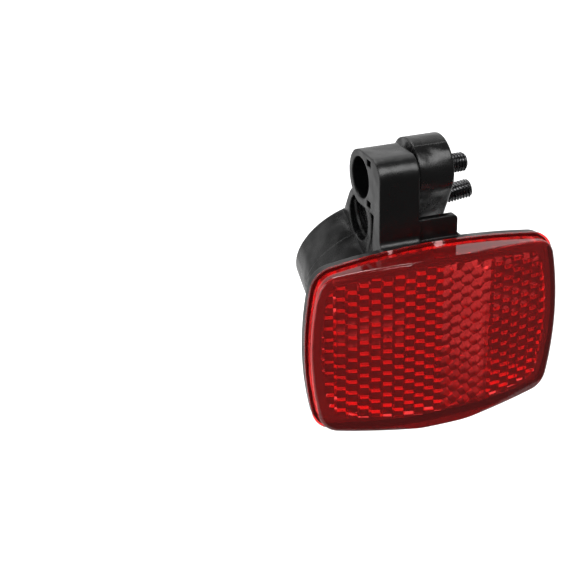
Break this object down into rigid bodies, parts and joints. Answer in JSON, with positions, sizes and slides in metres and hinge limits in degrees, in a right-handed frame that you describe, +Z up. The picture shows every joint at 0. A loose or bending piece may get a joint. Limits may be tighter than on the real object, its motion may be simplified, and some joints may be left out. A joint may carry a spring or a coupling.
{
  "type": "bicycle rear reflector",
  "caption": "Red rear reflector with a faceted prism lens in a black tray, hinged by its stem to a moulded split clamp for a round seat post.",
  "frame": {"origin": "centre of the clamp's bore, on the axis of the post that it grips", "axes": "+Z up and -Y the way the lens faces, in the folded pose of the picture; +X to the right seen from behind the bicycle, along the pivot screw"},
  "size_m": [0.0696, 0.0575, 0.0713],
  "materials": {
    "clamp_black": "black moulded plastic with a soft sheen",
    "housing_black": "black moulded plastic with a soft sheen",
    "lens_red": "clear red acrylic with a polished face and prisms behind it",
    "screw_steel": "black oxide",
    "nut_steel": "black oxide"
  },
  "bodies": {
    "bracket": {"clamp": "clamp_black", "pivot_screw": "screw_steel", "pivot_nut": "nut_steel", "clamp_screw": "screw_steel", "clamp_nut": "nut_steel"},
    "reflector": {"back_housing": "housing_black", "lens": "lens_red"}
  },
  "joints": [
    {"name": "reflector_tilt", "type": "hinge", "parent": "bracket", "child": "reflector", "pos_m": [0, -0.01829, 0.03513], "axis": [1, 0, 0], "range_deg": [-105, 18]}
  ]
}
